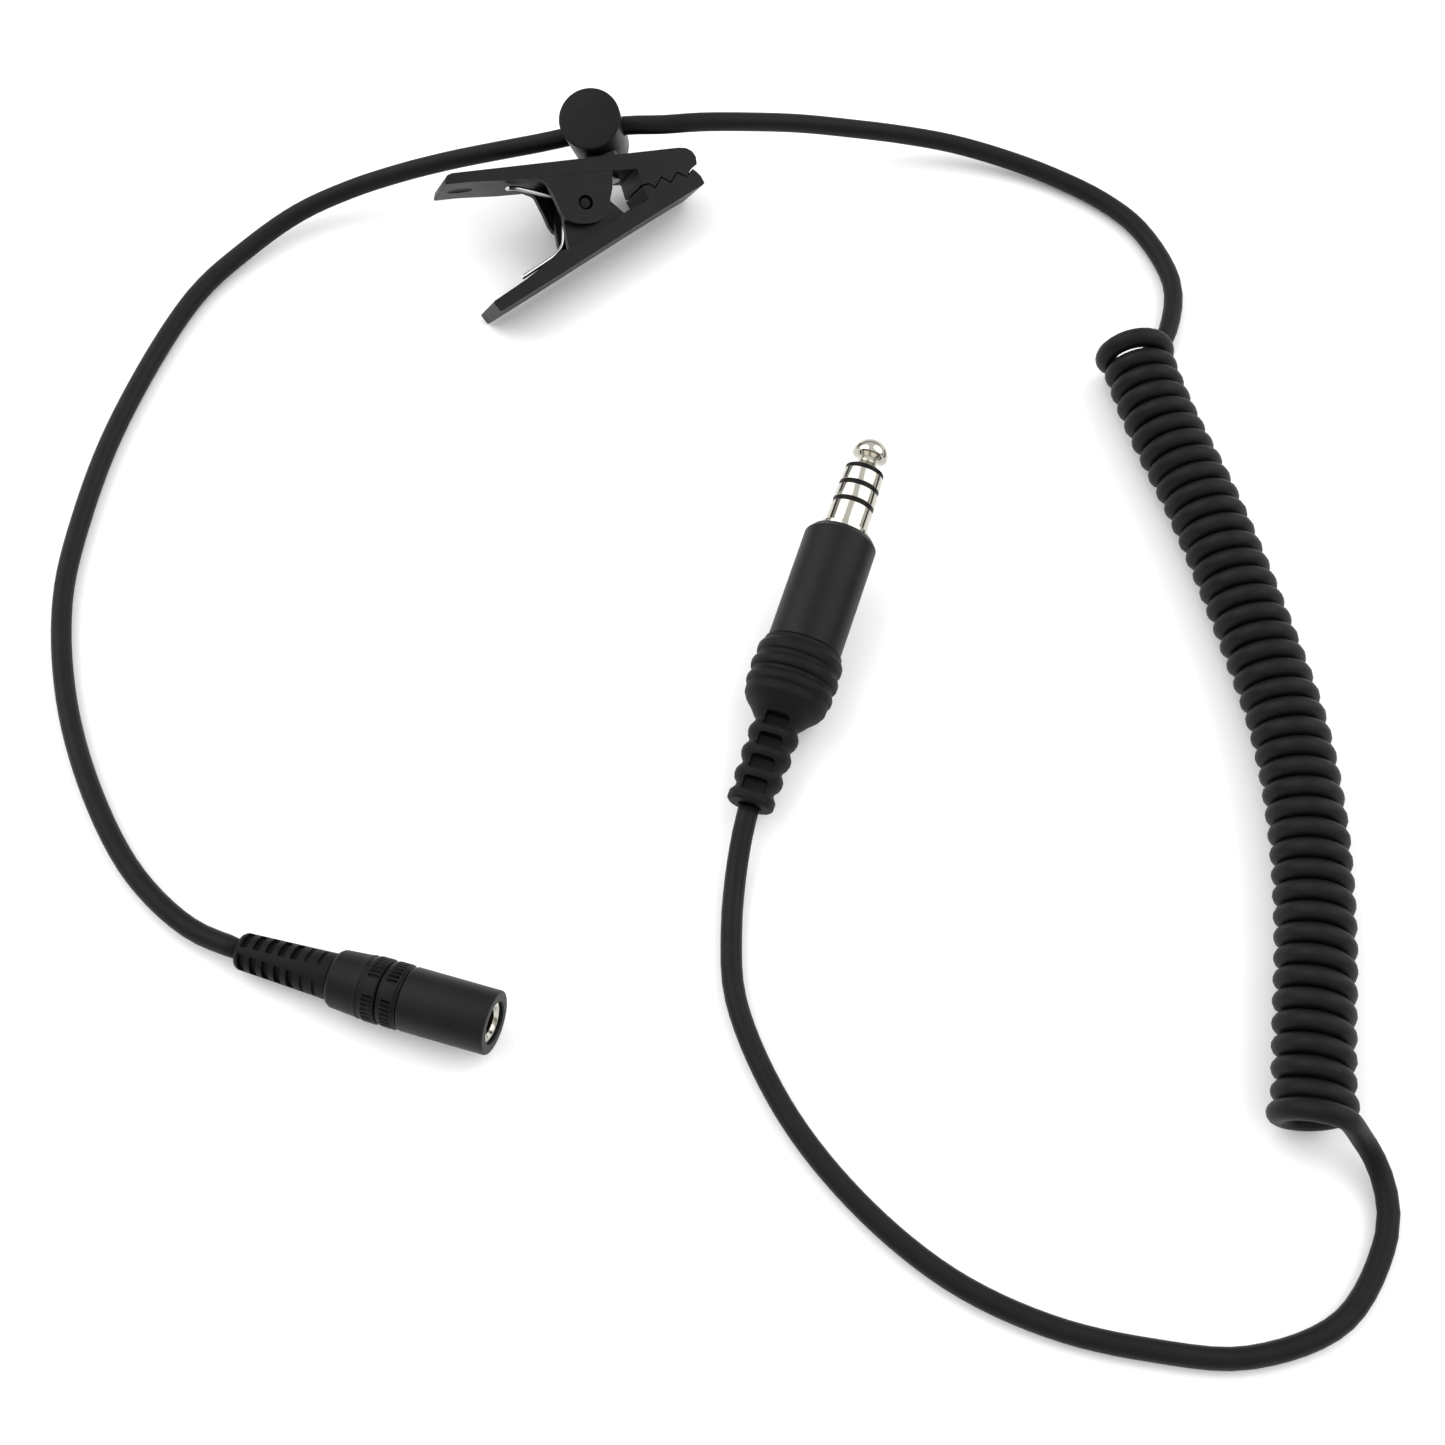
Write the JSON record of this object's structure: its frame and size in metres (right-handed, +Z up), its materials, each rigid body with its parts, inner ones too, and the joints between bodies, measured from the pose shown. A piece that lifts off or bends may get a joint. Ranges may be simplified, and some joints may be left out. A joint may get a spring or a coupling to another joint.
{
  "type": "headset adapter cord with clothing clip",
  "caption": "Black adapter cord with a ball-tip jack plug, a curly section, a spring clothing clip on a swivel cable holder, and an in-line socket.",
  "frame": {"origin": "on the table, under the middle of the box around the hard pieces (plug, socket, clip and holder)", "axes": "+Z up from the table; +Y from the socket and plug boot towards the clip; +X from the clip side towards the curly cord"},
  "size_m": [0.207, 0.2183, 0.022],
  "materials": {
    "boot_rubber": "matte, fine moulded grain",
    "satin_shell": "satin black",
    "grip_plastic": "satin black with fine grip ribs",
    "insulator": "black",
    "nickel": "polished nickel plate",
    "spring_steel": "bright drawn wire",
    "clip_plastic": "semi-gloss charcoal black",
    "cord_jacket": "matte black flexible jacket"
  },
  "bodies": {
    "cord_set": {"plug_boot": "boot_rubber", "plug_shell": "satin_shell", "plug_sleeve_contact": "nickel", "plug_insulator_1": "insulator", "plug_insulator_2": "insulator", "plug_insulator_3": "insulator", "plug_ring_contact_1": "nickel", "plug_ring_contact_2": "nickel", "plug_tip_contact": "nickel", "plug_core": "insulator", "plug_sleeve_terminal": "nickel", "plug_tip_terminal": "nickel", "socket_boot": "boot_rubber", "socket_cone": "grip_plastic", "socket_grip_ring": "grip_plastic", "socket_barrel": "satin_shell", "socket_body": "insulator", "socket_bushing": "nickel", "socket_tip_spring": "spring_steel", "socket_ring_spring": "spring_steel", "socket_microphone_spring": "spring_steel", "cable_holder": "clip_plastic", "swivel_stem": "nickel", "swivel_washer": "insulator", "lead_plug": "cord_jacket", "curly_cord": "cord_jacket", "lead_socket": "cord_jacket"},
    "clip_upper": {"clip_upper_arm": "clip_plastic", "clip_pivot_pin": "insulator", "clip_spring": "spring_steel"},
    "clip_lower": {"clip_lower_arm": "clip_plastic", "clip_spring_lower_leg": "spring_steel"}
  },
  "joints": [
    {"name": "clip_swivel", "type": "hinge", "parent": "cord_set", "child": "clip_upper", "pos_m": [0.00146, 0.07448, 0.01111], "axis": [-0.1923, 0.8609, 0.471], "range_deg": [-90, 90]},
    {"name": "jaw_pivot", "type": "hinge", "parent": "clip_upper", "child": "clip_lower", "pos_m": [-0.00259, 0.06605, 0.00873], "axis": [-0.322, 0.398, -0.859], "range_deg": [0, 32], "stiffness_Nm_per_rad": 0.08, "springref_deg": -22.92}
  ]
}
